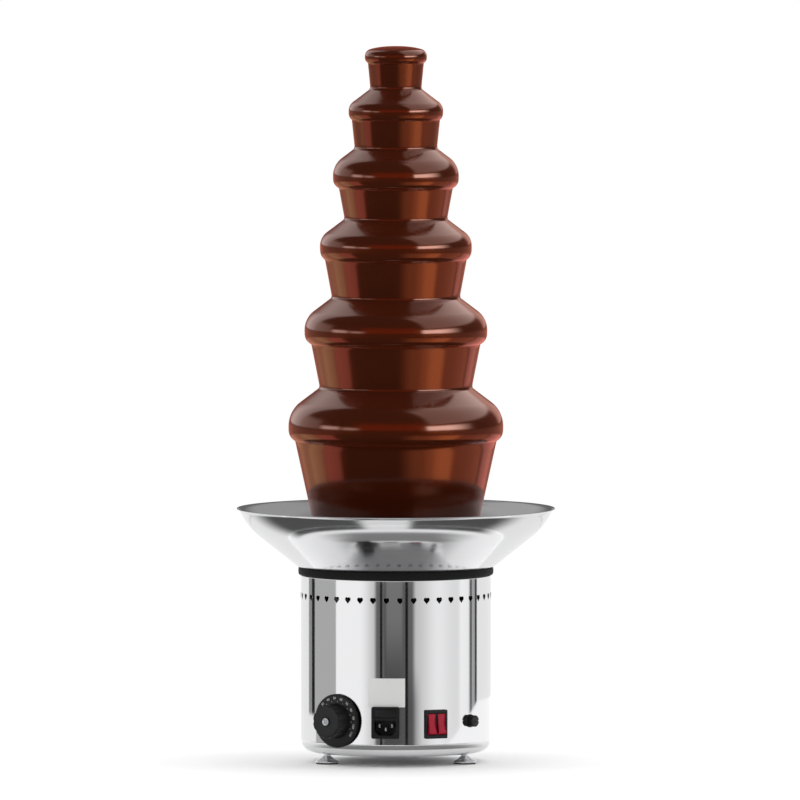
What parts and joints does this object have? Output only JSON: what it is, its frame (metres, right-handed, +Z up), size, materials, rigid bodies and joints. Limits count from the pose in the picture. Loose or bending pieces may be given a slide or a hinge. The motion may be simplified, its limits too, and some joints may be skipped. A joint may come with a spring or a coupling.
{
  "type": "chocolate fountain",
  "caption": "Free-standing chocolate fountain: polished pot base with a thermostat knob and rocker switches, a wide bowl, and a tiered tower with an auger inside.",
  "frame": {"origin": "on the table, on the axis of the tower", "axes": "+Z up along the tower's axis, -Y towards the control panel, +X to the right seen from the front"},
  "size_m": [0.3556, 0.3556, 0.8],
  "materials": {
    "polished_steel": "mirror-polished stainless sheet",
    "sheet_steel": "satin stainless",
    "zinc": "zinc-plated steel",
    "aluminium": "die-cast aluminium",
    "brass": "cut gear brass",
    "copper": "copper",
    "motor_paint": "dark enamel",
    "black_rubber": "black rubber",
    "black_plastic": "black moulded plastic",
    "white_plastic": "white moulded plastic",
    "red_plastic": "red translucent plastic",
    "chocolate": "melted dark chocolate, wet gloss"
  },
  "bodies": {
    "base": {"base_shell": "polished_steel", "foot_nuts": "zinc", "deck_plate": "sheet_steel", "deck_screws": "zinc", "bowl_gasket": "black_rubber", "bowl": "polished_steel", "locating_pegs": "sheet_steel", "bowl_studs": "zinc", "heater_ring": "aluminium", "thermal_cutout": "black_plastic", "shaft_bush": "white_plastic", "bush_nut": "zinc", "motor_posts": "zinc", "motor_screws": "zinc", "gearbox_case": "aluminium", "gearbox_cover": "aluminium", "idler_pin": "zinc", "motor_can": "motor_paint", "motor_stator": "copper", "motor_end_bell": "motor_paint", "run_capacitor": "white_plastic", "thermostat_body": "white_plastic", "capillary_bulb": "copper", "power_inlet": "black_plastic", "inlet_pins": "zinc", "switch_housing": "black_plastic", "fuse_holder": "black_plastic", "chocolate_pool": "chocolate"},
    "auger": {"drive_shaft": "zinc", "output_gear": "brass", "auger_shaft": "sheet_steel", "auger_flight": "sheet_steel"},
    "idler": {"idler_gear": "brass"},
    "rotor": {"motor_rotor": "zinc"},
    "tower": {"tower_tube": "sheet_steel", "tower_foot": "sheet_steel", "crown_1": "sheet_steel", "crown_2": "sheet_steel", "crown_3": "sheet_steel", "crown_4": "sheet_steel", "crown_5": "sheet_steel", "crown_spacers": "sheet_steel", "outlet_lip": "sheet_steel", "chocolate_1": "chocolate", "chocolate_2": "chocolate", "chocolate_3": "chocolate", "chocolate_4": "chocolate", "chocolate_5": "chocolate", "chocolate_top": "chocolate"},
    "knob": {"thermostat_knob": "black_plastic", "knob_cap": "zinc", "thermostat_spindle": "zinc"},
    "heat_switch": {"heat_rocker": "red_plastic"},
    "motor_switch": {"motor_rocker": "red_plastic"},
    "fuse": {"fuse_cap": "black_plastic", "fuse_link": "zinc"},
    "foot_left": {"foot_left": "zinc"},
    "foot_right": {"foot_right": "zinc"},
    "foot_rear": {"foot_rear": "zinc"}
  },
  "joints": [
    {"name": "auger_spin", "type": "hinge", "parent": "base", "child": "auger", "pos_m": [0, 0, 0.2], "axis": [0, 0, 1], "continuous": true},
    {"name": "idler_spin", "type": "hinge", "parent": "base", "child": "idler", "pos_m": [0, 0.028, 0.19], "axis": [0, 0, 1], "continuous": true},
    {"name": "rotor_spin", "type": "hinge", "parent": "base", "child": "rotor", "pos_m": [0, 0, 0.15], "axis": [0, 0, 1], "continuous": true},
    {"name": "tower_lift", "type": "slide", "parent": "base", "child": "tower", "axis": [0, 0, 1], "range_m": [0, 0.57]},
    {"name": "thermostat_turn", "type": "hinge", "parent": "base", "child": "knob", "pos_m": [-0.06465, -0.08425, 0.0517], "axis": [-0.6088, -0.7934, 0], "range_deg": [-45, 225]},
    {"name": "heat_press", "type": "hinge", "parent": "base", "child": "heat_switch", "pos_m": [0.04421, -0.09656, 0.0489], "axis": [0.9092, 0.4163, 0], "range_deg": [0, 20]},
    {"name": "motor_press", "type": "hinge", "parent": "base", "child": "motor_switch", "pos_m": [0.04421, -0.09656, 0.0489], "axis": [0.9092, 0.4163, 0], "range_deg": [0, 20]},
    {"name": "fuse_turn", "type": "hinge", "parent": "base", "child": "fuse", "pos_m": [0.08253, -0.06683, 0.0505], "axis": [0.7771, -0.6293, 0], "range_deg": [0, 90]},
    {"name": "foot_left_level", "type": "slide", "parent": "base", "child": "foot_left", "axis": [0, 0, 1], "range_m": [-0.008, 0.003]},
    {"name": "foot_right_level", "type": "slide", "parent": "base", "child": "foot_right", "axis": [0, 0, 1], "range_m": [-0.008, 0.003]},
    {"name": "foot_rear_level", "type": "slide", "parent": "base", "child": "foot_rear", "axis": [0, 0, 1], "range_m": [-0.008, 0.003]}
  ],
  "couplings": [
    {"joint": "idler_spin", "follows": "auger_spin", "ratio": -4},
    {"joint": "rotor_spin", "follows": "auger_spin", "ratio": 16}
  ]
}
